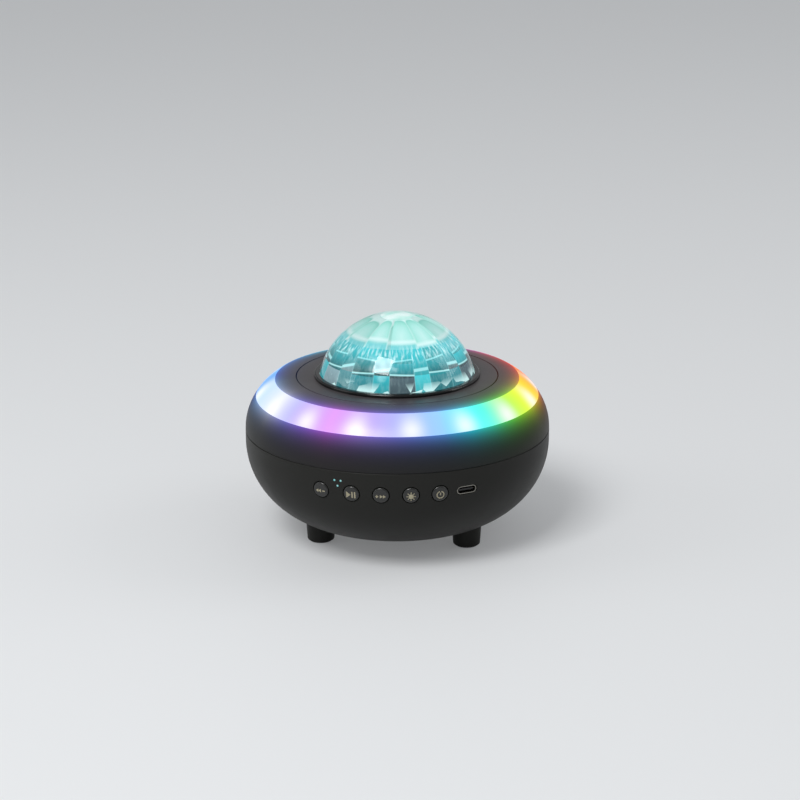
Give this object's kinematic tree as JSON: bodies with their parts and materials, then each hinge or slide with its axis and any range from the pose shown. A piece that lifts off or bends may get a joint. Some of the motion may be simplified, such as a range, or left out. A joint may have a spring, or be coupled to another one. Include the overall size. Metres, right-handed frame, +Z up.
{
  "type": "star night light projector",
  "caption": "Round night light projector: dark bowl on short feet, glowing shoulder ring, clear faceted dome over a turning lens, front buttons and a charging port.",
  "frame": {"origin": "centre of the circle of feet, on the plane that the foot pads stand on", "axes": "+Z up through the middle of the dome; -Y out of the middle button at the front; +X to the right as seen from the front"},
  "size_m": [0.134, 0.1344, 0.0992],
  "materials": {
    "housing": "satin",
    "cover": "satin",
    "collar": "gloss",
    "diffuser": "satin",
    "clear_dome": "polished",
    "clear_optic": "polished",
    "button": "satin",
    "switch": "satin",
    "grille": "satin",
    "pad": "matte",
    "speaker_steel": "satin",
    "magnet": "plated",
    "cone": "matte",
    "screw": "plated",
    "port": "plated",
    "port_tongue": "matte",
    "board": "satin",
    "white_board": "satin",
    "chip": "matte",
    "capacitor": "satin",
    "socket": "satin",
    "lamp": "satin",
    "inner": "satin",
    "heat_sink": "satin",
    "laser": "satin",
    "gear": "satin",
    "motor": "satin",
    "lead": "satin"
  },
  "bodies": {
    "base": {"lower_housing": "housing", "upper_housing": "housing", "foot_left": "housing", "foot_right": "housing", "foot_rear": "housing", "top_cover": "cover", "dome_plate": "cover", "dome_collar": "collar", "light_ring": "diffuser", "dome_lens": "clear_dome", "laser_lens": "clear_optic", "status_light_pipe": "clear_optic", "switch_bodies": "switch", "speaker_grille": "grille", "foot_pads": "pad", "speaker_gasket": "pad", "speaker_surround": "pad", "speaker_frame": "speaker_steel", "speaker_magnet": "magnet", "housing_screws": "screw", "small_screws": "screw", "speaker_screws": "screw", "usb_shell": "port", "usb_tongue": "port_tongue", "main_board": "board", "ring_board": "white_board", "led_board": "white_board", "board_chips": "chip", "remote_eye": "chip", "board_capacitors": "capacitor", "lead_sockets": "socket", "ring_leds": "lamp", "colour_leds": "lamp", "status_light": "lamp", "optics_deck": "inner", "heat_sink": "heat_sink", "laser_barrel": "laser", "rotor_retainer": "gear", "motor_body": "motor", "speaker_lead": "lead", "motor_lead": "lead", "light_lead": "lead", "ring_lead": "lead"},
    "previous_button": {"button_previous": "button", "plunger_previous": "switch"},
    "play_button": {"button_play": "button", "plunger_play": "switch"},
    "next_button": {"button_next": "button", "plunger_next": "switch"},
    "light_button": {"button_light": "button", "plunger_light": "switch"},
    "power_button": {"button_power": "button", "plunger_power": "switch"},
    "cone": {"speaker_cone": "cone"},
    "turntable": {"rotor_gear": "gear", "ripple_lens": "clear_optic", "star_grating": "clear_optic"},
    "drive": {"drive_pinion": "gear", "motor_shaft": "motor"}
  },
  "joints": [
    {"name": "previous_press", "type": "slide", "parent": "base", "child": "previous_button", "axis": [0.3859, 0.9225, 0], "range_m": [0, 0.0008], "stiffness_N_per_m": 1500, "springref_m": -0.0005},
    {"name": "play_press", "type": "slide", "parent": "base", "child": "play_button", "axis": [0.1874, 0.9823, 0], "range_m": [0, 0.0008], "stiffness_N_per_m": 1500, "springref_m": -0.0005},
    {"name": "next_press", "type": "slide", "parent": "base", "child": "next_button", "axis": [0, 1, 0], "range_m": [0, 0.0008], "stiffness_N_per_m": 1500, "springref_m": -0.0005},
    {"name": "light_press", "type": "slide", "parent": "base", "child": "light_button", "axis": [-0.1874, 0.9823, 0], "range_m": [0, 0.0008], "stiffness_N_per_m": 1500, "springref_m": -0.0005},
    {"name": "power_press", "type": "slide", "parent": "base", "child": "power_button", "axis": [-0.3649, 0.9311, 0], "range_m": [0, 0.0008], "stiffness_N_per_m": 1500, "springref_m": -0.0005},
    {"name": "cone_shake", "type": "slide", "parent": "base", "child": "cone", "axis": [0, 0, 1], "range_m": [-0.0005, 0.0005], "stiffness_N_per_m": 1000, "deforming": ["speaker_surround"]},
    {"name": "turntable_spin", "type": "hinge", "parent": "base", "child": "turntable", "pos_m": [0, 0, 0.0612], "axis": [0, 0, 1], "continuous": true},
    {"name": "drive_spin", "type": "hinge", "parent": "base", "child": "drive", "pos_m": [0.03118, 0.018, 0.0612], "axis": [0, 0, 1], "continuous": true}
  ],
  "couplings": [
    {"joint": "drive_spin", "follows": "turntable_spin", "ratio": -5}
  ]
}
